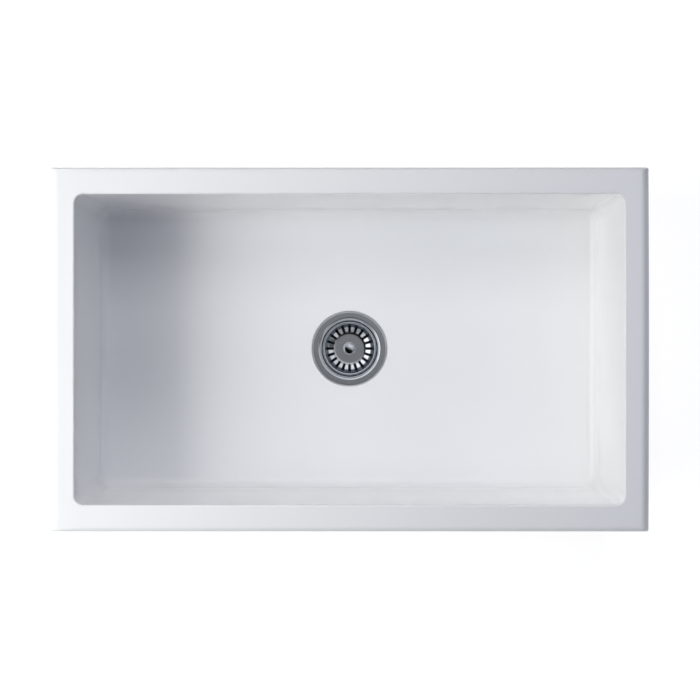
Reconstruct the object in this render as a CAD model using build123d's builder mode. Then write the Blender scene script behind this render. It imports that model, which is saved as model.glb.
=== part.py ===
"""Ceramic kitchen sink: a glazed box bowl with a basket strainer in its floor.

Millimetres, +Z up, +X to the right, the front towards -Y. The origin is the centre of the plane
that the foot of the bowl rests on, on the axis of the waste. Profiles of round pieces are drawn as
(radius, height) and turned about Z.
"""

import os

from build123d import *

os.makedirs("parts", exist_ok=True)

# Sizes of the ceramic bowl
sink_width = 838.0  # outside, left to right
sink_depth = 508.0  # outside, front to back
bowl_depth = 228.0  # rim to floor, at the walls
floor_thickness = 26.0  # floor at the walls to the foot below
side_rim = 36.0
front_rim = 37.5
side_draft = 4.0  # how far a wall leans in between rim and floor
front_draft = 4.5
floor_fall = 3.0  # from the walls to the waste
bowl_corner_r = 13.0
floor_edge_r = 16.0  # rounding between walls and floor
floor_corner_ease = 4.0  # corner radius at the floor beyond that rounding
rim_inner_r = 2.5  # rounding of the rim's inner edge
rim_side_r = 13.0  # rounding of the rim's outer edge, left and right
rim_front_r = 7.0  # the same, front and back
outer_corner_r = 4.0
base_edge_r = 10.0
foot_width = 45.0  # of the band that the sink stands on
panel_recess = 3.0  # how far the underside lies above the foot
panel_corner_r = 25.0
fall_margin = 6.0  # level strip round the floor and round the seat

# Sizes of the waste hole and of the strainer body that hangs in it
waste_hole_r = 45.0
hole_bevel = 5.0  # 45 degree bevel that clears the funnel
seat_recess = 2.5  # depth of the flange's seat in the floor
seat_margin = 0.8  # seat beyond the flange
hole_gap = 1.0  # between the hole and the strainer's wall
body_sheet = 1.2
body_bend = 1.2  # inside radius of the sheet's bends
flange_bearing = 6.8  # flange beyond the bevel
flange_proud = 2.0  # flange above the floor
flange_flat = 5.5  # between the flange's two roundings
flange_edge_bend = 0.4  # inside radius of the flange's turned-down edge
lip_gap = 0.8  # under the flange's turned-down edge
funnel_drop = 2.2  # height of the funnel below the flange
cup_corner_r = 5.0
cup_fall = 3.0  # of the cup's bottom towards the outlet
outlet_r = 21.0
spigot_spare = 3.0  # spigot below the cross
seal_gap = 0.5

# Sizes of the clamping stack under the floor
thread_gap = 0.25  # between mating threads, which are plain here
gasket_thickness = 2.5
gasket_reach = 14.0  # gasket beyond the hole
ring_thickness = 1.0
locknut_height = 11.5
locknut_wall = 9.0
locknut_flange = 13.0  # width of its flange, and of its lugs
locknut_flange_height = 3.0
lug_count = 6
lug_width = 9.0
thread_spare = 8.0  # strainer wall below the locknut

# Sizes of the outlet, its cross, and the tailpiece below
cross_hub = 3.4  # hub beyond its hole
cross_arm = 3.5
cross_thickness = 3.0
cross_gap = 1.3  # between the clip's collar and the cross
sleeve_wall = 1.6
sleeve_below = 2.0  # sleeve beyond the spigot's end
press_gap = 0.05
tail_shoulder = 4.8  # tailpiece flange beyond its tube
tail_wall = 1.0
tail_length = 75.0
tail_flange = 1.5
tail_neck = 0.35  # tube's neck, turned down where the nut passes
tail_neck_below = 1.0  # neck beyond the nut
tail_washer = 2.0
tail_washer_collar = 6.0
nut_wall = 3.9  # from the thread to a flat
nut_lip = 4.0
nut_grip = 10.0  # thread above the tailpiece's flange
nut_edge = 1.5

# Sizes of the basket and of the plug that it turns on
basket_gap = 0.8  # between the basket's rim and the bore
basket_sheet = 0.9
basket_bend = 0.5
basket_base_bend = 10.0  # rounding between cone and base
basket_drop = 5.0  # basket's rim below the flange
basket_lip = 4.2  # width of the basket's rim
basket_lip_flat = 0.4  # between the two bends of the rim
basket_lip_height = 2.6
basket_wall_lean = 0.9
basket_shoulder = 3.3
basket_shoulder_height = 6.0
basket_cone = 9.1
basket_cone_height = 3.7
slot_count = 20
slot_width = 4.2
slot_margin = 0.4  # from the cone's edges to the slots' ends
stem_r = 4.0
run_gap = 0.05  # between stem and what it passes through
end_play = 0.2  # above and below the basket's base
washer_r = 10.0
washer_thickness = 1.0
knob_r = 9.0
knob_wall = 1.15  # at the neck, round the stem
knob_foot = 1.3
knob_height = 16.0
knob_head = 4.5
knob_dome = 1.2
knob_underside = 2.0  # how far below its edge the head meets the neck
stopper_overlap = 15.0  # stopper beyond the outlet
stopper_height = 7.0
stopper_slant = 5.0  # from its top edge out to its lip
stopper_lip = 2.5
stopper_hollow = 1.2  # recess under the stopper
seat_gap = 0.3  # between the closed stopper and its seat
plate_margin = 11.0
plate_thickness = 1.2
retainer_r = 11.0
retainer_thickness = 1.2
stem_nut_wall = 2.45
stem_nut_height = 5.0
stem_spare = 0.3
pin_step = 1.6  # from the stem in to its end pin
clip_sheet = 0.5
clip_bow = 2.25  # how far the fingers bow out
clip_collar = 3.5
clip_gap = 0.4  # between the fingers and the cross
clip_below = 1.5  # widest point below the cross
clip_tip = 5.0
clip_slot = 1.2

# Heights that the sizes above give, from the rim down
rim_z = floor_thickness + bowl_depth
waste_floor_z = floor_thickness - floor_fall
seat_z = waste_floor_z - seat_recess
flange_top = waste_floor_z + flange_proud
flange_under = flange_top - body_sheet
funnel_z = flange_top - funnel_drop
gasket_z = panel_recess - gasket_thickness
ring_z = gasket_z - ring_thickness
locknut_z = ring_z - locknut_height
cup_z = locknut_z - thread_spare + body_sheet
outlet_z = cup_z - cup_fall

# Radii that the sizes above give
body_r = waste_hole_r - hole_gap
bore_r = body_r - body_sheet
bevel_r = waste_hole_r + hole_bevel
body_edge_r = body_sheet + body_bend
flange_edge_r = body_sheet + flange_edge_bend
flange_r = bevel_r + flange_bearing
crest_r = flange_r - flange_edge_r - flange_flat - body_edge_r
seat_r = flange_r + seat_margin
thread_r = body_r + thread_gap
gasket_r = waste_hole_r + gasket_reach
spigot_r = outlet_r + body_sheet
sleeve_bore = spigot_r + press_gap
sleeve_r = sleeve_bore + sleeve_wall
tail_r = sleeve_r - tail_shoulder
tail_bore = tail_r - tail_wall
nut_bore = sleeve_r + thread_gap
hub_gap = stem_r + run_gap
floor_corner_r = floor_edge_r + floor_corner_ease


# The cone that the stopper closes on, inside the bottom of the strainer body
def seat_height(radius):
    return outlet_z + cup_fall * (radius - outlet_r) / (bore_r - outlet_r)


# The plug stack, from the stopper's lip up to the knob
stopper_r = outlet_r + stopper_overlap
stopper_lip_r = stopper_r - stopper_lip
stopper_top_r = stopper_r - stopper_slant
stopper_z = seat_height(stopper_r) + seat_gap
stopper_inner_z = stopper_z + stopper_hollow
stopper_top = stopper_z + stopper_height
plate_top = stopper_top + plate_thickness
lower_washer_top = plate_top + washer_thickness
basket_under = lower_washer_top + end_play
basket_base = basket_under + basket_sheet
upper_washer_z = basket_base + end_play
knob_z = upper_washer_z + washer_thickness
knob_top = knob_z + knob_height
knob_head_z = knob_top - knob_head
retainer_z = stopper_inner_z - retainer_thickness
stem_nut_z = retainer_z - stem_nut_height
clip_top = stem_nut_z - stem_spare
clip_neck_z = clip_top - clip_collar

# The clip below the stack, and the cross that it snaps through
pin_r = stem_r - pin_step
clip_collar_r = pin_r + press_gap + clip_sheet
clip_bulge_r = clip_collar_r + clip_bow
cross_hole_r = clip_bulge_r + clip_gap
cross_hub_r = cross_hole_r + cross_hub
cross_z = clip_neck_z - cross_gap - cross_thickness
clip_bulge_z = cross_z - clip_below
clip_z = clip_bulge_z - clip_tip

# The outlet and the tailpiece, from the cross down
spigot_z = cross_z - spigot_spare
sleeve_top = outlet_z - body_sheet - body_edge_r
sleeve_z = spigot_z - sleeve_below
tail_washer_z = sleeve_z - tail_washer
tail_flange_z = tail_washer_z - tail_flange
nut_z = tail_flange_z - nut_lip
nut_top = tail_washer_z + nut_grip
tail_neck_z = nut_z - tail_neck_below
tail_z = tail_flange_z - tail_length

# The basket, from its rim inwards
basket_rim_z = flange_top - basket_drop
basket_r = bore_r - basket_gap
basket_lip_bend = (basket_lip - basket_lip_flat) / 2
basket_mouth_r = basket_r - basket_lip
basket_shoulder_r = basket_mouth_r - basket_wall_lean
basket_knee_r = basket_shoulder_r - basket_shoulder
basket_base_r = basket_knee_r - basket_cone
basket_knee_z = basket_base + basket_cone_height
basket_shoulder_z = basket_knee_z + basket_shoulder_height


def sheet_face(points, corner_radii, thickness):
    """The section of a bent sheet: a line with rounded corners, thickened on its left."""
    with BuildSketch() as section:
        with BuildLine():
            FilletPolyline(*points, radius=corner_radii)
            offset(amount=thickness, side=Side.LEFT, closed=True, mode=Mode.REPLACE)
        make_face()
    return section.sketch


def ring_face(inner_r, outer_r, low_z, high_z):
    """The section of a plain ring."""
    with BuildSketch() as section:
        with BuildLine():
            Polyline((inner_r, low_z), (outer_r, low_z), (outer_r, high_z), (inner_r, high_z), close=True)
        make_face()
    return section.sketch


# Hollow of the bowl: four drafted walls, a rounded floor edge, and a floor that falls to the waste
floor_width = sink_width - 2 * (side_rim + side_draft)
floor_length = sink_depth - 2 * (front_rim + front_draft)
with BuildPart() as hollow:
    with BuildSketch(Plane.XY.offset(floor_thickness)):
        RectangleRounded(floor_width, floor_length, floor_corner_r)
    with BuildSketch(Plane.XY.offset(rim_z)):
        RectangleRounded(sink_width - 2 * side_rim, sink_depth - 2 * front_rim, bowl_corner_r)
    loft(ruled=True)
    fillet(hollow.faces().sort_by(Axis.Z)[0].edges(), floor_edge_r)
    with BuildSketch(Plane.XY.offset(floor_thickness)):
        fall_inset = 2 * (floor_edge_r + fall_margin)
        Rectangle(floor_width - fall_inset, floor_length - fall_inset)
    with BuildSketch(Plane.XY.offset(waste_floor_z)):
        fall_size = 2 * (seat_r + fall_margin)
        Rectangle(fall_size, fall_size)
    loft(ruled=True)

# Bowl: one fired clay piece with a rounded rim, a foot all round its underside and a bevelled waste hole
with BuildPart() as bowl:
    with BuildSketch():
        RectangleRounded(sink_width, sink_depth, outer_corner_r)
    extrude(amount=rim_z)
    for view, length, rim_r in ((Plane.XZ, sink_width, rim_side_r), (Plane.YZ, sink_depth, rim_front_r)):
        with BuildSketch(view) as outline:
            with Locations((0, rim_z / 2)):
                Rectangle(length, rim_z)
            fillet(outline.vertices().group_by(Axis.Y)[-1], rim_r)
            fillet(outline.vertices().group_by(Axis.Y)[0], base_edge_r)
        extrude(amount=sink_width, both=True, mode=Mode.INTERSECT)
    add(hollow.part, mode=Mode.SUBTRACT)
    fillet(bowl.faces().sort_by(Axis.Z)[-1].inner_wires()[0].edges(), rim_inner_r)
    with BuildSketch():
        RectangleRounded(sink_width - 2 * foot_width, sink_depth - 2 * foot_width, panel_corner_r)
    extrude(amount=panel_recess, mode=Mode.SUBTRACT)
    with BuildSketch(Plane.XZ):
        with BuildLine():
            Polyline(
                (0, waste_floor_z),
                (seat_r, waste_floor_z),
                (seat_r, seat_z),
                (bevel_r, seat_z),
                (waste_hole_r, seat_z - hole_bevel),
                (waste_hole_r, 0),
                (0, 0),
                close=True,
            )
        make_face()
    revolve(axis=Axis.Z, mode=Mode.SUBTRACT)
bowl.part.label = "bowl"
export_step(bowl.part, "parts/bowl.step")

# Strainer body: a drawn cup with a rolled flange, a funnel throat and an outlet spigot
with BuildPart() as strainer_body:
    with BuildSketch(Plane.XZ):
        add(
            sheet_face(
                (
                    (flange_r, seat_z + lip_gap),
                    (flange_r, flange_top),
                    (crest_r, flange_top),
                    (bore_r, funnel_z),
                    (bore_r, cup_z),
                    (outlet_r, outlet_z),
                    (outlet_r, spigot_z),
                ),
                (flange_edge_r, body_edge_r, body_edge_r, cup_corner_r, body_edge_r),
                body_sheet,
            )
        )
    revolve(axis=Axis.Z)
strainer_body.part.label = "strainer_body"
export_step(strainer_body.part, "parts/strainer_body.step")

# Flange seal: a rubber ring between the flange and its seat in the floor
with BuildPart() as flange_seal:
    with BuildSketch(Plane.XZ):
        with BuildLine():
            seal_outer_r = flange_r - body_sheet - seal_gap
            Polyline(
                (bevel_r + seal_gap, seat_z),
                (seal_outer_r, seat_z),
                (seal_outer_r, flange_under),
                (crest_r + body_edge_r / 2, flange_under),
                close=True,
            )
        make_face()
    revolve(axis=Axis.Z)
flange_seal.part.label = "flange_seal"
export_step(flange_seal.part, "parts/flange_seal.step")

# Rubber gasket and fibre ring: they take the locknut's pressure under the floor
with BuildPart() as underside_gasket:
    with BuildSketch(Plane.XZ):
        add(ring_face(thread_r, gasket_r, gasket_z, panel_recess))
    revolve(axis=Axis.Z)
underside_gasket.part.label = "underside_gasket"
export_step(underside_gasket.part, "parts/underside_gasket.step")

with BuildPart() as fibre_ring:
    with BuildSketch(Plane.XZ):
        add(ring_face(thread_r, gasket_r, ring_z, gasket_z))
    revolve(axis=Axis.Z)
fibre_ring.part.label = "fibre_ring"
export_step(fibre_ring.part, "parts/fibre_ring.step")

# Locknut: a flanged ring with lugs for a spanner
with BuildPart() as locknut:
    with BuildSketch(Plane.XZ):
        add(ring_face(thread_r, thread_r + locknut_wall, locknut_z, ring_z))
        add(ring_face(thread_r, thread_r + locknut_flange, ring_z - locknut_flange_height, ring_z))
    revolve(axis=Axis.Z)
    with BuildSketch(Plane.XY.offset(locknut_z)):
        lug_length = locknut_flange - locknut_wall / 2
        with PolarLocations(thread_r + locknut_flange - lug_length / 2, lug_count):
            Rectangle(lug_length, lug_width)
    extrude(amount=locknut_height - locknut_flange_height)
locknut.part.label = "locknut"
export_step(locknut.part, "parts/locknut.step")

# Outlet cross: a stamped four-arm bridge welded inside the spigot, with a hole for the plug's clip
with BuildPart() as outlet_cross:
    with BuildSketch(Plane.XY.offset(cross_z)):
        Circle(cross_hub_r)
        for turn in (0, 90):
            SlotOverall(2 * outlet_r, cross_arm, rotation=turn)
        Circle(outlet_r - press_gap, mode=Mode.INTERSECT)
        Circle(cross_hole_r, mode=Mode.SUBTRACT)
    extrude(amount=cross_thickness)
outlet_cross.part.label = "outlet_cross"
export_step(outlet_cross.part, "parts/outlet_cross.step")

# Outlet sleeve: the threaded brass sleeve pressed on the spigot
with BuildPart() as outlet_sleeve:
    with BuildSketch(Plane.XZ):
        add(ring_face(sleeve_bore, sleeve_r, sleeve_z, sleeve_top))
    revolve(axis=Axis.Z)
outlet_sleeve.part.label = "outlet_sleeve"
export_step(outlet_sleeve.part, "parts/outlet_sleeve.step")

# Tailpiece washer: a nylon hat washer, its collar inside the tailpiece
with BuildPart() as tailpiece_washer:
    with BuildSketch(Plane.XZ):
        collar_r = tail_bore - press_gap
        add(ring_face(collar_r - tail_washer, sleeve_r, tail_washer_z, sleeve_z))
        add(ring_face(collar_r - tail_washer, collar_r, tail_washer_z - tail_washer_collar, tail_washer_z))
    revolve(axis=Axis.Z)
tailpiece_washer.part.label = "tailpiece_washer"
export_step(tailpiece_washer.part, "parts/tailpiece_washer.step")

# Tailpiece: a flanged tube that the trap slides on, with a neck in the nut
with BuildPart() as tailpiece:
    with BuildSketch(Plane.XZ):
        add(ring_face(tail_bore, sleeve_r, tail_flange_z, tail_washer_z))
        add(ring_face(tail_bore, tail_r - tail_neck, tail_neck_z, tail_flange_z))
        add(ring_face(tail_bore, tail_r, tail_z, tail_neck_z))
    revolve(axis=Axis.Z)
tailpiece.part.label = "tailpiece"
export_step(tailpiece.part, "parts/tailpiece.step")

# Coupling nut: a hexagon nut whose lip draws the tailpiece up to the sleeve
with BuildPart() as coupling_nut:
    with BuildSketch(Plane.XY.offset(nut_z)):
        RegularPolygon(nut_bore + nut_wall, 6, major_radius=False)
    extrude(amount=nut_top - nut_z)
    chamfer(coupling_nut.faces().filter_by(Axis.Z).edges(), nut_edge)
    with BuildSketch(Plane.XY.offset(tail_flange_z)):
        Circle(nut_bore)
    extrude(amount=nut_top - tail_flange_z, mode=Mode.SUBTRACT)
    with BuildSketch(Plane.XY.offset(nut_z)):
        Circle(tail_r + thread_gap)
    extrude(amount=nut_lip, mode=Mode.SUBTRACT)
coupling_nut.part.label = "coupling_nut"
export_step(coupling_nut.part, "parts/coupling_nut.step")

# Basket cup: a drawn strainer with slots round its stepped cone
with BuildPart() as basket_cup:
    with BuildSketch(Plane.XZ):
        add(
            sheet_face(
                (
                    (basket_r, basket_rim_z - basket_lip_height),
                    (basket_r, basket_rim_z),
                    (basket_mouth_r, basket_rim_z),
                    (basket_shoulder_r, basket_shoulder_z),
                    (basket_knee_r, basket_knee_z),
                    (basket_base_r, basket_base),
                    (hub_gap, basket_base),
                ),
                [basket_lip_bend] * 2 + [basket_sheet + basket_bend] * 2 + [basket_base_bend],
                basket_sheet,
            )
        )
    revolve(axis=Axis.Z)
    with BuildSketch(Plane.XY.offset(basket_under - end_play)):
        slot_inner_r = basket_base_r - slot_margin
        slot_outer_r = basket_shoulder_r - slot_margin
        with PolarLocations((slot_inner_r + slot_outer_r) / 2, slot_count):
            SlotOverall(slot_outer_r - slot_inner_r, slot_width)
    extrude(amount=basket_rim_z - basket_under, mode=Mode.SUBTRACT)
basket_cup.part.label = "basket_cup"
export_step(basket_cup.part, "parts/basket_cup.step")

# Knob: a turned pull with a narrow neck and a domed head
with BuildPart() as knob:
    with BuildSketch(Plane.XZ):
        with BuildLine():
            knob_neck_r = hub_gap + knob_wall
            dome_z = knob_top - knob_dome
            dome_r = (knob_r**2 + knob_dome**2) / (2 * knob_dome)
            bore_top = knob_head_z + run_gap
            FilletPolyline(
                (hub_gap, bore_top),
                (hub_gap, knob_z),
                (knob_neck_r + knob_foot, knob_z),
                (knob_neck_r, knob_head_z - knob_underside),
                (knob_r, knob_head_z),
                (knob_r, dome_z),
                radius=(0, 0, knob_underside, 0),
            )
            RadiusArc((knob_r, dome_z), (0, knob_top), -dome_r)
            Polyline((0, knob_top), (0, bore_top), (hub_gap, bore_top))
        make_face()
    revolve(axis=Axis.Z)
knob.part.label = "knob"
export_step(knob.part, "parts/knob.step")

# Stem: a turned pin that carries the knob, the basket, the stopper and the clip
with BuildPart() as stem:
    with BuildSketch(Plane.XZ):
        add(ring_face(0, stem_r, clip_top, knob_head_z))
        add(ring_face(0, pin_r, clip_z + clip_tip / 2, clip_top))
    revolve(axis=Axis.Z)
stem.part.label = "stem"
export_step(stem.part, "parts/stem.step")

# Nylon washers above and below the basket's base, which turns between them
for washer_name, washer_z in (("upper_washer", upper_washer_z), ("lower_washer", plate_top)):
    with BuildPart() as washer:
        with BuildSketch(Plane.XZ):
            add(ring_face(hub_gap, washer_r, washer_z, washer_z + washer_thickness))
        revolve(axis=Axis.Z)
    washer.part.label = washer_name
    export_step(washer.part, f"parts/{washer_name}.step")

# Stopper: the rubber disc that closes the outlet, with its backing plate and retainer
with BuildPart() as stopper_plate:
    with BuildSketch(Plane.XZ):
        add(ring_face(hub_gap, stopper_top_r - plate_margin, stopper_top, plate_top))
    revolve(axis=Axis.Z)
stopper_plate.part.label = "stopper_plate"
export_step(stopper_plate.part, "parts/stopper_plate.step")

with BuildPart() as stopper:
    with BuildSketch(Plane.XZ):
        with BuildLine():
            Polyline(
                (hub_gap, stopper_top),
                (stopper_top_r, stopper_top),
                (stopper_r, stopper_inner_z + stopper_hollow),
                (stopper_r, stopper_z),
                (stopper_lip_r, seat_height(stopper_lip_r) + seat_gap),
                (stopper_lip_r - stopper_hollow, stopper_inner_z),
                (hub_gap, stopper_inner_z),
                close=True,
            )
        make_face()
    revolve(axis=Axis.Z)
stopper.part.label = "stopper"
export_step(stopper.part, "parts/stopper.step")

with BuildPart() as stopper_retainer:
    with BuildSketch(Plane.XZ):
        add(ring_face(hub_gap, retainer_r, retainer_z, stopper_inner_z))
    revolve(axis=Axis.Z)
stopper_retainer.part.label = "stopper_retainer"
export_step(stopper_retainer.part, "parts/stopper_retainer.step")

# Stem nut: holds the stopper stack against the knob
with BuildPart() as stem_nut:
    with BuildSketch(Plane.XY.offset(stem_nut_z)):
        RegularPolygon(hub_gap + stem_nut_wall, 6, major_radius=False)
        Circle(hub_gap, mode=Mode.SUBTRACT)
    extrude(amount=stem_nut_height)
stem_nut.part.label = "stem_nut"
export_step(stem_nut.part, "parts/stem_nut.step")

# Spring clip: a collar with four bowed fingers that snaps through the outlet cross
with BuildPart() as spring_clip:
    with BuildSketch(Plane.XZ):
        add(
            sheet_face(
                (
                    (clip_collar_r, clip_z),
                    (clip_bulge_r, clip_bulge_z),
                    (clip_collar_r, clip_neck_z),
                    (clip_collar_r, clip_top),
                ),
                (2 * clip_sheet, 2 * clip_sheet),
                clip_sheet,
            )
        )
    revolve(axis=Axis.Z)
    with BuildSketch(Plane.XY.offset(clip_z - clip_sheet)):
        for turn in (0, 90):
            Rectangle(4 * cross_hole_r, clip_slot, rotation=turn)
    extrude(amount=clip_neck_z - clip_z, mode=Mode.SUBTRACT)
spring_clip.part.label = "spring_clip"
export_step(spring_clip.part, "parts/spring_clip.step")
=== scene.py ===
"""A white glazed kitchen sink with a steel basket strainer, seen from above.

Sizes are in millimetres until a mesh is made, and every mesh is in metres in the frame of the solids:
+X to the right, +Y to the back, +Z up, with the waste on the Z axis. Outlines of turned pieces are
lists of (radius, height).
"""

import math

import bmesh
import bpy
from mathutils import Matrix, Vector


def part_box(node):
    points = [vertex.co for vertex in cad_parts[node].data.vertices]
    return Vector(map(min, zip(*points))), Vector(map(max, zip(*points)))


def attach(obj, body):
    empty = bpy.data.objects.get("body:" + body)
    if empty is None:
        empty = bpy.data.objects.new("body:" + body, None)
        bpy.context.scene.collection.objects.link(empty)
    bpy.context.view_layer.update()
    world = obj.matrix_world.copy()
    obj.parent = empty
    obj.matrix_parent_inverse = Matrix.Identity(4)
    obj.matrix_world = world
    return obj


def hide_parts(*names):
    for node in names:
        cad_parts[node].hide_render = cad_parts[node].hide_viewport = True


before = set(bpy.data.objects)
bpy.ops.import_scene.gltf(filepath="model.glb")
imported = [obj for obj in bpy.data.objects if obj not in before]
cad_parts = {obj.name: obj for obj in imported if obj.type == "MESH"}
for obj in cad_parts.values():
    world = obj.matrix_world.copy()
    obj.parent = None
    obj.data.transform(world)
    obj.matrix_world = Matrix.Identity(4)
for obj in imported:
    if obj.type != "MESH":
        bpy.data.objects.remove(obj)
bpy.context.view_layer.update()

MM = 0.001


def node_span(node):
    """Radius, lowest height and highest height of a round solid, in millimetres."""
    low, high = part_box(node)
    return (high.x - low.x) / 2 / MM, low.z / MM, high.z / MM


# Sizes of the bowl
bowl_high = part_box("bowl")[1]
HALF_WIDTH = bowl_high.x / MM
HALF_DEPTH = bowl_high.y / MM
RIM_Z = bowl_high.z / MM
SIDE_RIM = 36.0
FRONT_RIM = 37.5
SIDE_DRAFT = 4.0
FRONT_DRAFT = 4.5
RIM_SIDE_R = 13.0
RIM_FRONT_R = 7.0
RIM_INNER_R = 2.5
OUTER_CORNER_R = 4.0
MITRE_R = 1.0
OPENING_CORNER_R = 13.0
FLOOR_CORNER_R = 20.0
FLOOR_EDGE_R = 16.0
FLOOR_Z = 26.0
FLOOR_FALL = 3.0
BASE_EDGE_R = 10.0
FOOT_WIDTH = 45.0
FOOT_STEP_R = 1.2
PANEL_Z = 3.0
PANEL_CORNER_R = 25.0
SEAT_R = 57.6
SEAT_Z = 20.5
SEAT_EDGE_R = 1.2
BEVEL = 5.0
HOLE_R = 45.0

# How far the bowl bows out at the middle of its sides, and how far its rim sags
RIGHT_BOW = 0.8
LEFT_BOW = 0.3
FRONT_BOW = 0.2
RIM_SAG = 0.4

# The bowl's mesh: steps along a quarter of each ring, and how far a ring stands from a rounding
SIDE_STEPS = 9
CORNER_STEPS = 10
FRONT_STEPS = 15
QUARTER_STEPS = SIDE_STEPS + CORNER_STEPS + FRONT_STEPS
SIDE_SHARE = SIDE_STEPS / QUARTER_STEPS
FRONT_SHARE = FRONT_STEPS / QUARTER_STEPS
RING_TURNS = [(quarter, step / QUARTER_STEPS) for quarter in range(4) for step in range(QUARTER_STEPS)]
FOOT_MARGIN = 1.5
RIM_MARGIN = 2.0
WALL_MARGIN = 3.0

# Sizes of the strainer
SHEET = 1.2
FLANGE_R, SPIGOT_Z, FLANGE_Z = node_span("strainer_body")
BORE_R = 42.8
FUNNEL_DROP = 2.2
CREST_R = 47.3
BEND_R = 2.4
FLANGE_EDGE_R = 1.6
CUP_CORNER_R = 5.0
CUP_Z = -18.8
CUP_FALL = 3.0
OUTLET_R = 21.0
LIP_GAP = 0.8
LOCKNUT_BORE_R = 44.25
SLEEVE_BORE_R = 22.25
COUPLING_FLATS = 56.0
COUPLING_BORE_R = 24.1
COUPLING_LIP_BORE_R = 19.3
COUPLING_LIP = 4.0
TUBE_R = 19.05
TUBE_BORE_R = 18.05
THREAD_PITCH = 2.1
BODY_THREAD_DEPTH = 0.55
SLEEVE_THREAD_DEPTH = 0.5
SLEEVE_THREAD_SINK = 0.3
SLEEVE_THREAD_IN_NUT = 2.0
SLEEVE_PLAIN_END = 1.0

# Sizes of the basket and the plug
KNOB_HEAD = 4.5
KNOB_DOME = 1.2
KNOB_UNDERSIDE = 2.0
KNOB_EDGE_R = 1.6
BASKET_R, BASKET_UNDER_Z, BASKET_RIM_Z = node_span("basket_cup")
BASKET_SHEET = 0.9
BASKET_LIP = 4.2
BASKET_LIP_HEIGHT = 2.6
BASKET_LIP_BEND = 1.9
BASKET_LEAN = 0.9
BASKET_SHOULDER = 3.3
BASKET_SHOULDER_HEIGHT = 6.0
BASKET_CONE = 9.1
BASKET_CONE_HEIGHT = 3.7
BASKET_BEND_R = 1.4
BASKET_BASE_BEND_R = 10.0
STEM_HOLE_R = 4.05
STEM_NUT_FLATS = 13.0
SLOT_COUNT = 20
SLOT_WIDTH = 4.2
SLOT_MARGIN = 0.4
PUNCHED_EDGE_R = 0.16

# How outlines and meshes are drawn: steps of arcs, points beside a rounding, welds and sharp edges
ARC_STEP = math.radians(11)
SUPPORT_SHARE = 0.35
SUPPORT_ROOM = 2.5
TINY = 1e-6
WELD = 1e-4
SHARP_DEGREES = 40
SOFT_EDGE_DEGREES = 50
THREAD_STEPS = 72
THREAD_SIDES = 4
THREAD_SHARP_DEGREES = 80
COPY_WELD = 0.01


def arc_points(centre, radius, start, sweep, steps):
    """Points on an arc, both ends included; angles in radians."""
    return [
        (
            centre[0] + radius * math.cos(start + sweep * i / steps),
            centre[1] + radius * math.sin(start + sweep * i / steps),
        )
        for i in range(steps + 1)
    ]


def rounded(points, radii, closed=True):
    """An outline with its corners rounded, and a close point beside each rounding to keep flats flat.

    radii has one value for each point; 0 keeps a corner sharp, and the ends of an open line stay.
    """
    result = []
    count = len(points)
    for i, (x, y) in enumerate(points):
        radius = radii[i]
        if radius == 0 or (not closed and i in (0, count - 1)):
            result.append((x, y))
            continue
        before = points[i - 1]
        after = points[(i + 1) % count]
        towards_before = (before[0] - x, before[1] - y)
        towards_after = (after[0] - x, after[1] - y)
        length_before = math.hypot(*towards_before)
        length_after = math.hypot(*towards_after)
        unit_before = (towards_before[0] / length_before, towards_before[1] / length_before)
        unit_after = (towards_after[0] / length_after, towards_after[1] / length_after)
        cosine = unit_before[0] * unit_after[0] + unit_before[1] * unit_after[1]
        half = math.acos(max(-1.0, min(1.0, cosine))) / 2
        reach = radius / math.tan(half)
        middle = (unit_before[0] + unit_after[0], unit_before[1] + unit_after[1])
        middle_length = math.hypot(*middle)
        to_centre = radius / math.sin(half) / middle_length
        centre = (x + middle[0] * to_centre, y + middle[1] * to_centre)
        first = (x + unit_before[0] * reach, y + unit_before[1] * reach)
        last = (x + unit_after[0] * reach, y + unit_after[1] * reach)
        start = math.atan2(first[1] - centre[1], first[0] - centre[0])
        sweep = math.atan2(last[1] - centre[1], last[0] - centre[0]) - start
        sweep = (sweep + math.pi) % (2 * math.pi) - math.pi
        steps = max(3, round(abs(sweep) / ARC_STEP))
        far = reach + SUPPORT_SHARE * radius
        if length_before > SUPPORT_ROOM * far:
            result.append((x + unit_before[0] * far, y + unit_before[1] * far))
        result.extend(arc_points(centre, radius, start, sweep, steps))
        if length_after > SUPPORT_ROOM * far:
            result.append((x + unit_after[0] * far, y + unit_after[1] * far))
    return result


def thickened(line, thickness):
    """The closed outline of a sheet: a line of points, and the same line moved to its left."""
    moved = []
    for i, (x, y) in enumerate(line):
        before = line[max(i - 1, 0)]
        after = line[min(i + 1, len(line) - 1)]
        normals = []
        for start, end in ((before, (x, y)), ((x, y), after)):
            length = math.hypot(end[0] - start[0], end[1] - start[1])
            if length > 0:
                normals.append((-(end[1] - start[1]) / length, (end[0] - start[0]) / length))
        nx = sum(n[0] for n in normals) / len(normals)
        ny = sum(n[1] for n in normals) / len(normals)
        scale = thickness / (nx * nx + ny * ny)
        moved.append((x + nx * scale, y + ny * scale))
    return line + moved[::-1]


def polar(radius, angle, height):
    """The point at a radius and an angle about the Z axis, at a height."""
    return radius * math.cos(angle), radius * math.sin(angle), height


def circle(radius, height, count):
    """Points of a level circle about the Z axis."""
    return [polar(radius, 2 * math.pi * i / count, height) for i in range(count)]


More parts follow.
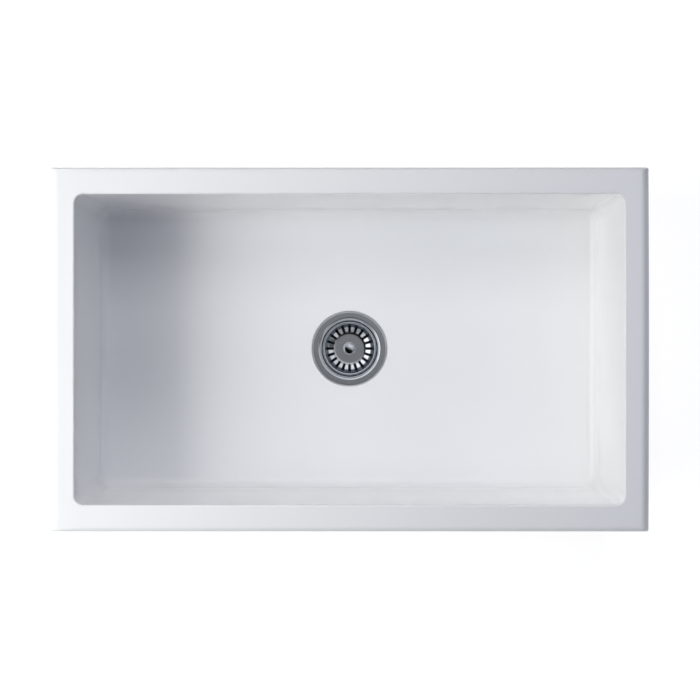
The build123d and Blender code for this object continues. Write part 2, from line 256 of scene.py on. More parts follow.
def finish_mesh(name, bm, sharp_degrees=SHARP_DEGREES):
    """A smooth-shaded object from a bmesh in millimetres, with normals outwards."""
    bmesh.ops.remove_doubles(bm, verts=bm.verts, dist=WELD)
    bmesh.ops.recalc_face_normals(bm, faces=bm.faces)
    bmesh.ops.scale(bm, vec=(MM, MM, MM), verts=bm.verts)
    mesh = bpy.data.meshes.new(name)
    bm.to_mesh(mesh)
    bm.free()
    mesh.shade_smooth()
    mesh.set_sharp_from_angle(angle=math.radians(sharp_degrees))
    piece = bpy.data.objects.new(name, mesh)
    bpy.context.collection.objects.link(piece)
    return piece


def bridge(bm, lower, upper):
    """Quads, or triangles at a pole, between two closed rings of vertices."""
    count = max(len(lower), len(upper))
    for i in range(count):
        corners = []
        for ring, order in ((lower, (i, i + 1)), (upper, (i + 1, i))):
            for index in order:
                vertex = ring[index % len(ring)]
                if vertex not in corners:
                    corners.append(vertex)
        if len(corners) > 2:
            bm.faces.new(corners)


def strip(bm, line, angles):
    """Adds a strip of quads to a bmesh: a line of (radius, height) repeated at each angle about Z."""
    rows = [[bm.verts.new(polar(radius, angle, height)) for angle in angles] for radius, height in line]
    for first, second in zip(rows, rows[1:]):
        for i in range(len(angles) - 1):
            bm.faces.new((first[i], first[i + 1], second[i + 1], second[i]))


def turned(name, outline, segments=128, closed=True):
    """A piece turned about Z from an outline of (radius, height); an open one starts and ends on the axis."""
    bm = bmesh.new()
    rings = []
    for radius, height in outline:
        points = [(0, 0, height)] if radius < TINY else circle(radius, height, segments)
        rings.append([bm.verts.new(point) for point in points])
    for lower, upper in zip(rings, rings[1:]):
        bridge(bm, lower, upper)
    if closed:
        bridge(bm, rings[-1], rings[0])
    return finish_mesh(name, bm)


def ring_outline(inner, outer, low, high, edge):
    """The outline of a plain ring with rounded edges."""
    return rounded([(inner, low), (outer, low), (outer, high), (inner, high)], [edge] * 4)


# Node trees for what repeats


def new_tree(name, inputs):
    """An empty geometry tree with named inputs; gives the tree and its two end nodes."""
    tree = bpy.data.node_groups.new(name, "GeometryNodeTree")
    tree.interface.new_socket(name="Geometry", in_out="INPUT", socket_type="NodeSocketGeometry")
    for input_name, socket_type in inputs:
        tree.interface.new_socket(name=input_name, in_out="INPUT", socket_type=socket_type)
    tree.interface.new_socket(name="Geometry", in_out="OUTPUT", socket_type="NodeSocketGeometry")
    return tree, tree.nodes.new("NodeGroupInput"), tree.nodes.new("NodeGroupOutput")


def math_node(tree, operation, first, second):
    """A math node of a node tree; each operand is a socket or a number."""
    node = tree.nodes.new("ShaderNodeMath")
    node.operation = operation
    for socket, operand in zip(node.inputs, (first, second)):
        if isinstance(operand, (int, float)):
            socket.default_value = operand
        else:
            tree.links.new(operand, socket)
    return node.outputs[0]


def smooth_step(tree, source, low, high, low_value, high_value):
    """A value that goes smoothly from low_value to high_value as source goes from low to high."""
    node = tree.nodes.new("ShaderNodeMapRange")
    node.interpolation_type = "SMOOTHSTEP"
    limits = {"From Min": low, "From Max": high, "To Min": low_value, "To Max": high_value}
    for socket_name, value in limits.items():
        node.inputs[socket_name].default_value = value
    tree.links.new(source, node.inputs["Value"])
    return node.outputs["Result"]


def array_round_axis_tree():
    """Copies a wedge round the Z axis and welds the copies."""
    inputs = [("Count", "NodeSocketInt"), ("Weld", "NodeSocketFloat"), ("Finish", "NodeSocketMaterial")]
    tree, start, end = new_tree("array_round_axis", inputs)
    points = tree.nodes.new("GeometryNodePoints")
    copies = tree.nodes.new("GeometryNodeInstanceOnPoints")
    index = tree.nodes.new("GeometryNodeInputIndex")
    turn = tree.nodes.new("ShaderNodeCombineXYZ")
    real = tree.nodes.new("GeometryNodeRealizeInstances")
    weld = tree.nodes.new("GeometryNodeMergeByDistance")
    finish = tree.nodes.new("GeometryNodeSetMaterial")
    step = math_node(tree, "DIVIDE", 2 * math.pi, start.outputs["Count"])
    angle = math_node(tree, "MULTIPLY", index.outputs["Index"], step)
    tree.links.new(start.outputs["Count"], points.inputs["Count"])
    tree.links.new(points.outputs["Points"], copies.inputs["Points"])
    tree.links.new(start.outputs["Geometry"], copies.inputs["Instance"])
    tree.links.new(angle, turn.inputs["Z"])
    tree.links.new(turn.outputs["Vector"], copies.inputs["Rotation"])
    tree.links.new(copies.outputs["Instances"], real.inputs["Geometry"])
    tree.links.new(real.outputs["Geometry"], weld.inputs["Geometry"])
    tree.links.new(start.outputs["Weld"], weld.inputs["Distance"])
    tree.links.new(weld.outputs["Geometry"], finish.inputs["Geometry"])
    tree.links.new(start.outputs["Finish"], finish.inputs["Material"])
    tree.links.new(finish.outputs["Geometry"], end.inputs["Geometry"])
    return tree


def screw_thread_tree():
    """A helical ridge on a cylinder."""
    lengths = [(name, "NodeSocketFloat") for name in ("Radius", "Pitch", "Length", "Base", "Depth")]
    tree, start, end = new_tree("screw_thread", lengths + [("Finish", "NodeSocketMaterial")])
    spiral = tree.nodes.new("GeometryNodeCurveSpiral")
    spiral.inputs["Resolution"].default_value = THREAD_STEPS
    turns = math_node(tree, "DIVIDE", start.outputs["Length"], start.outputs["Pitch"])
    section = tree.nodes.new("GeometryNodeCurvePrimitiveCircle")
    section.inputs["Resolution"].default_value = THREAD_SIDES
    sweep = tree.nodes.new("GeometryNodeCurveToMesh")
    sweep.inputs["Fill Caps"].default_value = True
    lift = tree.nodes.new("ShaderNodeCombineXYZ")
    place = tree.nodes.new("GeometryNodeTransform")
    real = tree.nodes.new("GeometryNodeRealizeInstances")
    finish = tree.nodes.new("GeometryNodeSetMaterial")
    tree.links.new(turns, spiral.inputs["Rotations"])
    tree.links.new(start.outputs["Radius"], spiral.inputs["Start Radius"])
    tree.links.new(start.outputs["Radius"], spiral.inputs["End Radius"])
    tree.links.new(start.outputs["Length"], spiral.inputs["Height"])
    tree.links.new(start.outputs["Depth"], section.inputs["Radius"])
    tree.links.new(spiral.outputs["Curve"], sweep.inputs["Curve"])
    tree.links.new(section.outputs["Curve"], sweep.inputs["Profile Curve"])
    tree.links.new(start.outputs["Base"], lift.inputs["Z"])
    tree.links.new(sweep.outputs["Mesh"], place.inputs["Geometry"])
    tree.links.new(lift.outputs["Vector"], place.inputs["Translation"])
    tree.links.new(place.outputs["Geometry"], real.inputs["Geometry"])
    tree.links.new(real.outputs["Geometry"], finish.inputs["Geometry"])
    tree.links.new(start.outputs["Finish"], finish.inputs["Material"])
    tree.links.new(finish.outputs["Geometry"], end.inputs["Geometry"])
    return tree


def bake(piece, sharp_degrees=SHARP_DEGREES):
    """Turns a piece's modifiers into its plain mesh."""
    evaluated = piece.evaluated_get(bpy.context.evaluated_depsgraph_get())
    mesh = bpy.data.meshes.new_from_object(evaluated)
    piece.modifiers.clear()
    piece.data = mesh
    mesh.name = piece.name
    mesh.shade_smooth()
    mesh.set_sharp_from_angle(angle=math.radians(sharp_degrees))


def add_tree(piece, tree, **values):
    """Puts a geometry tree on a piece and sets its inputs by name."""
    modifier = piece.modifiers.new(tree.name, "NODES")
    modifier.node_group = tree
    for item in tree.interface.items_tree:
        if item.in_out == "INPUT" and item.name in values:
            modifier[item.identifier] = values[item.name]
    return modifier


def copied_round(piece, tree, count, finish):
    """Copies a piece's mesh round the Z axis, count times in all."""
    add_tree(piece, tree, Count=count, Weld=COPY_WELD * MM, Finish=finish)


def give_thickness(piece, thickness):
    """Gives a surface the thickness of its sheet, inwards."""
    modifier = piece.modifiers.new("sheet", "SOLIDIFY")
    modifier.thickness = thickness * MM
    modifier.offset = -1


def soften_edges(piece, width, segments):
    """Rounds the sharp edges of a piece."""
    modifier = piece.modifiers.new("soft_edges", "BEVEL")
    modifier.width = width * MM
    modifier.segments = segments
    modifier.limit_method = "ANGLE"
    modifier.angle_limit = math.radians(SOFT_EDGE_DEGREES)


def screw_thread(name, tree, radius, pitch, low, high, depth, finish):
    """A thread between two heights on a cylinder."""
    piece = bpy.data.objects.new(name, bpy.data.meshes.new(name))
    bpy.context.collection.objects.link(piece)
    add_tree(
        piece,
        tree,
        Radius=radius * MM,
        Pitch=pitch * MM,
        Length=(high - low) * MM,
        Base=low * MM,
        Depth=depth * MM,
        Finish=finish,
    )
    bake(piece, sharp_degrees=THREAD_SHARP_DEGREES)
    return piece


# Finishes


class Finish:
    """A procedural material under construction: its node tree, shader and object coordinates."""

    def __init__(self, name):
        self.material = bpy.data.materials.new(name)
        self.material.use_nodes = True
        self.tree = self.material.node_tree
        self.shader = self.tree.nodes["Principled BSDF"]
        self.place = self.tree.nodes.new("ShaderNodeTexCoord").outputs["Object"]

    def link(self, source, target):
        self.tree.links.new(source, target)

    def set(self, **sockets):
        for socket_name, value in sockets.items():
            self.shader.inputs[socket_name.replace("_", " ")].default_value = value

    def noise(self, size, detail=2.0, vector=None, stretch=(1, 1, 1)):
        """Noise whose blotches are about size millimetres across."""
        mapping = self.tree.nodes.new("ShaderNodeMapping")
        mapping.inputs["Scale"].default_value = stretch
        self.link(vector or self.place, mapping.inputs["Vector"])
        node = self.tree.nodes.new("ShaderNodeTexNoise")
        node.inputs["Scale"].default_value = 1 / (size * MM)
        node.inputs["Detail"].default_value = detail
        self.link(mapping.outputs["Vector"], node.inputs["Vector"])
        return node.outputs["Fac"]

    def ramp(self, source, low, high, low_value=0.0, high_value=1.0):
        """A value that goes from low_value to high_value as source goes from low to high."""
        return smooth_step(self.tree, source, low, high, low_value, high_value)

    def math(self, operation, first, second):
        return math_node(self.tree, operation, first, second)

    def mix(self, factor, first, second):
        """A colour between two colours or sockets."""
        node = self.tree.nodes.new("ShaderNodeMix")
        node.data_type = "RGBA"
        self.link(factor, node.inputs["Factor"])
        for socket, colour in ((node.inputs[6], first), (node.inputs[7], second)):
            if isinstance(colour, tuple):
                socket.default_value = (*colour, 1)
            else:
                self.link(colour, socket)
        return node.outputs[2]

    def bump(self, height, depth, normal=None):
        """A bump whose full height is depth millimetres; gives a normal."""
        node = self.tree.nodes.new("ShaderNodeBump")
        node.inputs["Strength"].default_value = 1.0
        node.inputs["Distance"].default_value = depth * MM
        self.link(height, node.inputs["Height"])
        if normal is not None:
            self.link(normal, node.inputs["Normal"])
        return node.outputs["Normal"]

    def split(self):
        """The object's coordinates apart, as sockets named X, Y and Z."""
        node = self.tree.nodes.new("ShaderNodeSeparateXYZ")
        self.link(self.place, node.inputs["Vector"])
        return node.outputs

    def round_axis(self):
        """A vector of the distance from the Z axis and the height, for patterns that go round the axis."""
        parts = self.split()
        squares = [self.math("MULTIPLY", parts[axis], parts[axis]) for axis in "XY"]
        join = self.tree.nodes.new("ShaderNodeCombineXYZ")
        self.link(self.math("POWER", self.math("ADD", *squares), 0.5), join.inputs["X"])
        self.link(parts["Z"], join.inputs["Z"])
        return join.outputs["Vector"]

    def colour(self, socket):
        self.link(socket, self.shader.inputs["Base Color"])

    def roughness(self, socket):
        self.link(socket, self.shader.inputs["Roughness"])

    def normal(self, socket):
        self.link(socket, self.shader.inputs["Normal"])


def glazed_clay_finish():
    """White gloss glaze over fired clay, which is bare below a wavy line at the foot."""
    finish = Finish("glazed_clay")
    waver = finish.math("MULTIPLY", finish.noise(40, detail=3.0), 4 * MM)
    above_line = finish.math("SUBTRACT", finish.split()["Z"], waver)
    glazed = finish.ramp(above_line, 2.6 * MM, 3.4 * MM)
    cloud = finish.ramp(finish.noise(160, detail=1.0), 0.2, 0.8)
    glaze = finish.mix(cloud, (0.947, 0.950, 0.954), (0.953, 0.956, 0.957))
    sand = finish.noise(0.9, detail=4.0)
    patches = finish.ramp(finish.noise(14, detail=5.0), 0.3, 0.7)
    clay = finish.mix(patches, (0.60, 0.53, 0.44), (0.72, 0.66, 0.57))
    clay = finish.mix(finish.ramp(sand, 0.55, 0.75, 0, 0.5), clay, (0.42, 0.35, 0.28))
    finish.colour(finish.mix(glazed, clay, glaze))
    gloss = finish.ramp(finish.noise(90, detail=1.0), 0.2, 0.8, 0.09, 0.13)
    roughness = finish.tree.nodes.new("ShaderNodeMix")
    finish.link(glazed, roughness.inputs["Factor"])
    roughness.inputs["A"].default_value = 0.92
    finish.link(gloss, roughness.inputs["B"])
    finish.roughness(roughness.outputs["Result"])
    wave = finish.bump(finish.noise(90, detail=0.0), 0.012)
    peel = finish.bump(finish.noise(6.0, detail=0.0), 0.002, wave)
    grain = finish.math("MULTIPLY", sand, finish.math("SUBTRACT", 1.0, glazed))
    finish.normal(finish.bump(grain, 0.5, peel))
    return finish.material


def turned_metal_finish(name, dark, light, gloss, matt, line_size, line_depth, anisotropy):
    """Metal with fine turning lines round the Z axis."""
    finish = Finish(name)
    finish.set(Metallic=1.0, Anisotropic=anisotropy)
    line = finish.noise(line_size, detail=3.0, vector=finish.round_axis())
    cloud = finish.noise(9, detail=3.0)
    line_share = finish.math("MULTIPLY", line, 0.6)
    cloud_share = finish.math("MULTIPLY", cloud, 0.4)
    tone = finish.math("ADD", line_share, cloud_share)
    finish.colour(finish.mix(finish.ramp(tone, 0.35, 0.65), dark, light))
    finish.roughness(finish.ramp(tone, 0.3, 0.7, matt, gloss))
    finish.normal(finish.bump(line, line_depth))
    return finish.material


def cast_zinc_finish():
    """Die-cast zinc: dull, mottled and faintly grainy."""
    finish = Finish("zinc")
    finish.set(Metallic=1.0)
    cloud = finish.noise(6, detail=5.0)
    finish.colour(finish.mix(finish.ramp(cloud, 0.3, 0.7), (0.36, 0.37, 0.39), (0.55, 0.56, 0.58)))
    finish.roughness(finish.ramp(cloud, 0.3, 0.7, 0.55, 0.38))
    finish.normal(finish.bump(finish.noise(0.7, detail=3.0), 0.05))
    return finish.material


def rubber_finish():
    """Black moulded rubber with a dusty bloom."""
    finish = Finish("black_rubber")
    bloom = finish.noise(7, detail=5.0)
    finish.colour(finish.mix(finish.ramp(bloom, 0.4, 0.75), (0.010, 0.010, 0.011), (0.027, 0.027, 0.026)))
    finish.roughness(finish.ramp(bloom, 0.3, 0.7, 0.5, 0.72))
    finish.normal(finish.bump(finish.noise(0.5, detail=2.0), 0.03))
    return finish.material


def fibre_finish():
    """Pressed red fibre with short threads in it."""
    finish = Finish("red_fibre")
    finish.set(Roughness=0.85)
    thread = finish.noise(1.2, detail=5.0, stretch=(1, 3, 1))
    finish.colour(finish.mix(finish.ramp(thread, 0.35, 0.68), (0.22, 0.055, 0.035), (0.42, 0.14, 0.09)))
    finish.normal(finish.bump(thread, 0.08))
    return finish.material


def nylon_finish():
    """Moulded white nylon, a little milky."""
    finish = Finish("white_nylon")
    finish.set(Roughness=0.42, Subsurface_Weight=0.1)
    cloud = finish.ramp(finish.noise(5, detail=3.0), 0.3, 0.7)
    finish.colour(finish.mix(cloud, (0.74, 0.73, 0.68), (0.82, 0.81, 0.77)))
    finish.normal(finish.bump(finish.noise(0.6, detail=2.0), 0.012))
    return finish.material


# Turned metals: the dark and light colours, the least and most roughness, the size and depth of the
# turning lines in millimetres, and the anisotropy
TURNED_METALS = {
    "satin_steel": ((0.525, 0.555, 0.60), (0.555, 0.585, 0.63), 0.10, 0.14, 0.55, 0.001, 0.2),
    "polished_steel": ((0.56, 0.59, 0.635), (0.60, 0.63, 0.675), 0.08, 0.12, 0.4, 0.0006, 0.1),
    "brass": ((0.50, 0.33, 0.12), (0.70, 0.50, 0.22), 0.22, 0.42, 0.5, 0.010, 0.3),
}
finishes = {name: turned_metal_finish(name, *values) for name, values in TURNED_METALS.items()}
finishes["glazed_clay"] = glazed_clay_finish()
finishes["zinc"] = cast_zinc_finish()
finishes["black_rubber"] = rubber_finish()
finishes["red_fibre"] = fibre_finish()
finishes["white_nylon"] = nylon_finish()
array_round_axis = array_round_axis_tree()
thread_tree = screw_thread_tree()


def dress(piece, body, finish, *nodes):
    """Gives a piece its finish and its body, and hides the solids that it stands for."""
    if not piece.data.materials:
        piece.data.materials.append(None)
    for index in range(len(piece.data.materials)):
        piece.data.materials[index] = finishes[finish]
    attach(piece, body)
    if nodes:
        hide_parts(*nodes)


# The bowl


def bowl_ring_point(half_x, half_y, corner, turn):
    """A point of a rounded rectangle, and how far it faces the sides rather than the front and back.

    turn is a pair: which of the four quarters, and the way through it from 0 to 1.
    """
    quarter, way = turn
    sign_x = (1, -1, -1, 1)[quarter]
    sign_y = (1, 1, -1, -1)[quarter]
    if quarter in (1, 3):
        way = 1 - way
    straight_x = half_x - corner
    straight_y = half_y - corner
    if way < SIDE_SHARE:
        x, y, facing = half_x, straight_y * way / SIDE_SHARE, 1.0
    elif way > 1 - FRONT_SHARE:
        x, y, facing = straight_x * (1 - way) / FRONT_SHARE, half_y, 0.0
    else:
        bend = (way - SIDE_SHARE) / (1 - FRONT_SHARE - SIDE_SHARE)
        angle = bend * math.pi / 2
        x = straight_x + corner * math.cos(angle)
        y = straight_y + corner * math.sin(angle)
        facing = 1 - bend
    return sign_x * x, sign_y * y, facing


def fired_warp(x, y, z):
    """The slight bow and sag that a large clay piece takes in the kiln; the foot stays as it is.

    The ends of the sides draw in, so that their middles stand out by the bow, and no point leaves the
    solid's box.
    """
    across = x / HALF_WIDTH
    along = y / HALF_DEPTH
    up = max(0.0, z / RIM_Z)
    bow = RIGHT_BOW if x > 0 else LEFT_BOW
    dx = -bow * up * across**3 * along * along
    dy = -FRONT_BOW * up * along**3 * (1 - across * across)
    dz = -RIM_SAG * up**4 * (1 - across * across)
    return x + dx, y + dy, z + dz


def rim_arc(start, sweep, steps):
    """Unit points of an arc, as (cosine, sine)."""
    return arc_points((0, 0), 1, math.radians(start), math.radians(sweep), steps)


def outside_rings():
    """Rings up the outside of the bowl, from the foot to the flat of the rim.

    Each ring is its insets across and along, its corner's radius, and its heights at the sides and at
    the front and back.
    """
    rings = []
    foot_step = (
        (FOOT_WIDTH + FOOT_STEP_R, PANEL_Z),
        (FOOT_WIDTH, PANEL_Z - FOOT_STEP_R),
        (FOOT_WIDTH, FOOT_STEP_R),
        (FOOT_WIDTH - FOOT_STEP_R, 0),
    )
    for inset, z in foot_step:
        rings.append((inset, inset, PANEL_CORNER_R, z, z))
    for inset in (FOOT_WIDTH - 2 * FOOT_STEP_R, BASE_EDGE_R + FOOT_MARGIN):
        rings.append((inset, inset, OUTER_CORNER_R, 0, 0))
    for cosine, sine in rim_arc(-90, 90, 8):
        inset = BASE_EDGE_R * (1 - cosine)
        z = BASE_EDGE_R * (1 + sine)
        rings.append((inset, inset, max(OUTER_CORNER_R - inset, MITRE_R), z, z))
    lowest = BASE_EDGE_R + RIM_MARGIN
    highest = RIM_Z - RIM_SIDE_R - RIM_MARGIN
    steps = 8
    for step in range(steps + 1):
        z = lowest + (highest - lowest) * step / steps
        rings.append((0, 0, OUTER_CORNER_R, z, z + (RIM_SIDE_R - RIM_FRONT_R) * step / steps))
    for cosine, sine in rim_arc(0, 90, 9):
        inset = RIM_SIDE_R * (1 - cosine)
        rings.append(
            (
                inset,
                RIM_FRONT_R * (1 - cosine),
                max(OUTER_CORNER_R - inset, MITRE_R),
                RIM_Z - RIM_SIDE_R * (1 - sine),
                RIM_Z - RIM_FRONT_R * (1 - sine),
            )
        )
    return rings


def inside_rings():
    """Rings from the flat of the rim down the inner walls to the edge of the floor, as outside_rings."""
    rings = [(RIM_SIDE_R + RIM_MARGIN, RIM_FRONT_R + RIM_MARGIN, MITRE_R + RIM_MARGIN / 2, RIM_Z, RIM_Z)]
    opening_x = SIDE_RIM - RIM_INNER_R
    opening_y = FRONT_RIM - RIM_INNER_R
    corner = OPENING_CORNER_R + RIM_INNER_R
    rings.append((opening_x - RIM_MARGIN, opening_y - RIM_MARGIN, corner + RIM_MARGIN, RIM_Z, RIM_Z))
    for cosine, sine in rim_arc(90, -90, 8):
        inward = RIM_INNER_R * cosine
        z = RIM_Z - RIM_INNER_R * (1 - sine)
        rings.append((opening_x + inward, opening_y + inward, corner - inward, z, z))
    top = RIM_Z - RIM_INNER_R - RIM_MARGIN
    bottom = FLOOR_Z + FLOOR_EDGE_R + WALL_MARGIN
    steps = 9
    for step in range(steps + 1):
        z = top + (bottom - top) * (step / steps)
        draft = (RIM_Z - z) / (RIM_Z - FLOOR_Z)
        rings.append(
            (
                SIDE_RIM + SIDE_DRAFT * draft,
                FRONT_RIM + FRONT_DRAFT * draft,
                OPENING_CORNER_R + (FLOOR_CORNER_R - OPENING_CORNER_R) * draft,
                z,
                z,
            )
        )
    for cosine, sine in rim_arc(180, 90, 10):
        inward = FLOOR_EDGE_R * (1 + cosine)
        z = FLOOR_Z + FLOOR_EDGE_R * (1 + sine)
        inset_x = SIDE_RIM + SIDE_DRAFT + inward
        inset_y = FRONT_RIM + FRONT_DRAFT + inward
        rings.append((inset_x, inset_y, FLOOR_CORNER_R - inward, z, z))
    return rings


def bowl_piece():
    """The bowl as rings that follow its section all the way round: up the outside, over the rim, down the
    inside, over the floor, through the waste hole and back under the panel."""
    bm = bmesh.new()

    def rectangle_ring(inset_x, inset_y, corner, side_z, front_z):
        points = []
        for turn in RING_TURNS:
            x, y, facing = bowl_ring_point(HALF_WIDTH - inset_x, HALF_DEPTH - inset_y, corner, turn)
            points.append((x, y, front_z + (side_z - front_z) * facing))
        return points

    def morph(first, second, share, z):
        return [
            (a[0] + (b[0] - a[0]) * share, a[1] + (b[1] - a[1]) * share, z)
            for a, b in zip(first, second)
        ]

    outside = [rectangle_ring(*ring) for ring in outside_rings()]
    inside = [rectangle_ring(*ring) for ring in inside_rings()]
    waste_z = FLOOR_Z - FLOOR_FALL
    seat_surround = 8.0
    hole_surround = 20.0
    floor_steps = 14
    panel_steps = 7
    seat_outline = rounded(
        [
            (SEAT_R + seat_surround, waste_z),
            (SEAT_R, waste_z),
            (SEAT_R, SEAT_Z),
            (HOLE_R + BEVEL, SEAT_Z),
            (HOLE_R, SEAT_Z - BEVEL),
            (HOLE_R, PANEL_Z),
            (HOLE_R + hole_surround, PANEL_Z),
        ],
        [0, SEAT_EDGE_R, SEAT_EDGE_R / 2, SEAT_EDGE_R, SEAT_EDGE_R, SEAT_EDGE_R, 0],
        closed=False,
    )
    hole = [circle(radius, z, len(RING_TURNS)) for radius, z in seat_outline]
    floor = []
    for step in range(1, floor_steps):
        share = step / floor_steps
        fall = share * share * (3 - 2 * share)
        floor.append(morph(inside[-1], hole[0], share, FLOOR_Z - FLOOR_FALL * fall))
    panel = [
        morph(hole[-1], outside[0], step / panel_steps, PANEL_Z)
        for step in range(1, panel_steps)
    ]
    loops = [
        [bm.verts.new(fired_warp(*point)) for point in ring]
        for ring in outside + inside + floor + hole + panel
    ]
    for lower, upper in zip(loops, loops[1:] + loops[:1]):
        bridge(bm, lower, upper)
    return finish_mesh("sink_bowl", bm, sharp_degrees=60)


# The strainer in the floor


def strainer_line():
    """The upper side of the strainer's sheet, from the flange's edge to the end of the spigot."""
    return rounded(
        [
            (FLANGE_R, SEAT_Z + LIP_GAP),
            (FLANGE_R, FLANGE_Z),
            (CREST_R, FLANGE_Z),
            (BORE_R, FLANGE_Z - FUNNEL_DROP),
            (BORE_R, CUP_Z),
            (OUTLET_R, CUP_Z - CUP_FALL),
            (OUTLET_R, SPIGOT_Z),
        ],
        [0, FLANGE_EDGE_R, BEND_R, BEND_R, CUP_CORNER_R, BEND_R, 0],
        closed=False,
    )


def basket_line():
    """The upper side of the basket's sheet, from the rim's turned-down edge to the stem hole."""
    mouth_r = BASKET_R - BASKET_LIP
    shoulder_r = mouth_r - BASKET_LEAN
    knee_r = shoulder_r - BASKET_SHOULDER
    base_r = knee_r - BASKET_CONE
    base_z = BASKET_UNDER_Z + BASKET_SHEET
    return rounded(
        [
            (BASKET_R, BASKET_RIM_Z - BASKET_LIP_HEIGHT),
            (BASKET_R, BASKET_RIM_Z),
            (mouth_r, BASKET_RIM_Z),
            (shoulder_r, base_z + BASKET_CONE_HEIGHT + BASKET_SHOULDER_HEIGHT),
            (knee_r, base_z + BASKET_CONE_HEIGHT),
            (base_r, base_z),
            (STEM_HOLE_R, base_z),
        ],
        [0] + [BASKET_LIP_BEND] * 2 + [BASKET_BEND_R] * 2 + [BASKET_BASE_BEND_R, 0],
        closed=False,
    )


def height_on(line, radius):
    """Height of a line of (radius, height) points at a radius, on the innermost stretch that holds it."""
    for (r0, z0), (r1, z1) in zip(line[::-1], line[-2::-1]):
        if min(r0, r1) <= radius <= max(r0, r1) and r0 != r1:
            return z0 + (z1 - z0) * (radius - r0) / (r1 - r0)
    return line[-1][1]


def basket_wedge():
    """One slot's share of the basket: the slotted cone between plain strips of rim, wall and base."""
    line = basket_line()
    half = math.pi / SLOT_COUNT
    across = 8
    along = 14
    plain_border = 1.2
    shoulder_border = 0.1
    base_rings = (9.0, 16.0)
    shares_to_border = (0.0, 0.10, 0.45, 1.0)
    angles = [-half + 2 * half * i / across for i in range(across + 1)]
    shoulder_r = BASKET_R - BASKET_LIP - BASKET_LEAN
    base_r = shoulder_r - BASKET_SHOULDER - BASKET_CONE
    slot_low = base_r - SLOT_MARGIN
    slot_high = shoulder_r - SLOT_MARGIN
    outer_r = shoulder_r - shoulder_border
    inner_r = slot_low - plain_border
    bm = bmesh.new()

    outer_z = height_on(line, outer_r)
    strip(bm, [point for point in line if point[1] > outer_z + TINY] + [(outer_r, outer_z)], angles)
    inner_points = [point for point in line if point[0] < inner_r - TINY]
    inner_points += [(radius, line[-1][1]) for radius in base_rings]
    inner_points.append((inner_r, height_on(line, inner_r)))
    strip(bm, sorted(inner_points, reverse=True), angles)

    side_radii = [inner_r + (outer_r - inner_r) * i / along for i in range(1, along)]
    border = [(outer_r, angle) for angle in angles]
    border += [(radius, half) for radius in reversed(side_radii)]
    border += [(inner_r, angle) for angle in reversed(angles)]
    border += [(radius, -half) for radius in side_radii]
    loops = []
    for share in shares_to_border:
        loop = []
        for radius, angle in border:
            x, y = polar(radius, angle, 0)[:2]
            middle = min(max(x, slot_low + SLOT_WIDTH / 2), slot_high - SLOT_WIDTH / 2)
            away = math.hypot(x - middle, y)
            edge_x = middle + SLOT_WIDTH / 2 * (x - middle) / away
            edge_y = SLOT_WIDTH / 2 * y / away
            px = edge_x + (x - edge_x) * share
            py = edge_y + (y - edge_y) * share
            loop.append(bm.verts.new((px, py, height_on(line, math.hypot(px, py)))))
        loops.append(loop)
    for first, second in zip(loops, loops[1:]):
        bridge(bm, first, second)
    return finish_mesh("basket", bm)


def basket_piece():
    """The whole basket: the wedge copied round, given its thickness, with softened punched edges."""
    piece = basket_wedge()
    copied_round(piece, array_round_axis, SLOT_COUNT, finishes["satin_steel"])
    give_thickness(piece, BASKET_SHEET)
    soften_edges(piece, PUNCHED_EDGE_R, 2)
    bake(piece)
    return piece


def knob_outline():
    """The knob: a flared foot, a narrow neck and a domed head."""
    radius, low, high = node_span("knob")
    foot_r = 6.5
    foot_edge_r = 0.5
    neck_r = 5.2
    under_edge_r = 0.8
    crown_steps = 18
    edge_steps = 4
    head_z = high - KNOB_HEAD
    dome_r = (radius**2 + KNOB_DOME**2) / (2 * KNOB_DOME)
    crown = []
    for step in range(edge_steps, crown_steps + 1):
        angle = math.asin(radius / dome_r) * (1 - step / crown_steps)
        crown.append((dome_r * math.sin(angle), high - dome_r * (1 - math.cos(angle))))
    side = rounded(
        [
            (0, head_z),
            (STEM_HOLE_R, head_z),
            (STEM_HOLE_R, low),
            (foot_r, low),
            (neck_r, head_z - KNOB_UNDERSIDE),
            (radius, head_z),
            (radius, high - KNOB_DOME),
            crown[0],
        ],
        [0, 0, 0, foot_edge_r, KNOB_UNDERSIDE, under_edge_r, KNOB_EDGE_R, 0],
        closed=False,
    )
    return side[:-1] + crown


def hexagon_nut(name, flats, bore, low, high, lip_bore=None, lip_z=None):
    """A hexagon nut with turned corners at both ends; a lip narrows the bore below lip_z."""
    bm = bmesh.new()
    steps = 16
    count = 6 * steps
    turned_share = 0.985
    turned_degrees = 28
    sharp_degrees = 25
    edge = 0.5
    circle_r = flats / 2 * turned_share
    slope = math.tan(math.radians(turned_degrees))

    def hexagon_r(i):
        angle = (i % steps) / steps * math.pi / 3 - math.pi / 6
        return flats / 2 / math.cos(angle)

    def ring(radius, z):
        return [bm.verts.new(point) for point in circle(radius, z, count)]

    def corner_ring(z, way):
        vertices = []
        for i in range(count):
            radius = hexagon_r(i)
            height = z - way * (radius - circle_r) * slope
            vertices.append(bm.verts.new(polar(radius, 2 * math.pi * i / count, height)))
        return vertices

    inner_low = lip_bore or bore
    rings = [
        ring(inner_low, low + edge),
        ring(inner_low + edge, low),
        ring(circle_r, low),
        corner_ring(low, -1),
        corner_ring(high, 1),
        ring(circle_r, high),
        ring(bore + edge, high),
        ring(bore, high - edge),
    ]
    if lip_bore:
        rings += [ring(bore, lip_z), ring(lip_bore, lip_z)]
    for lower, upper in zip(rings, rings[1:] + rings[:1]):
        bridge(bm, lower, upper)
    return finish_mesh(name, bm, sharp_degrees)


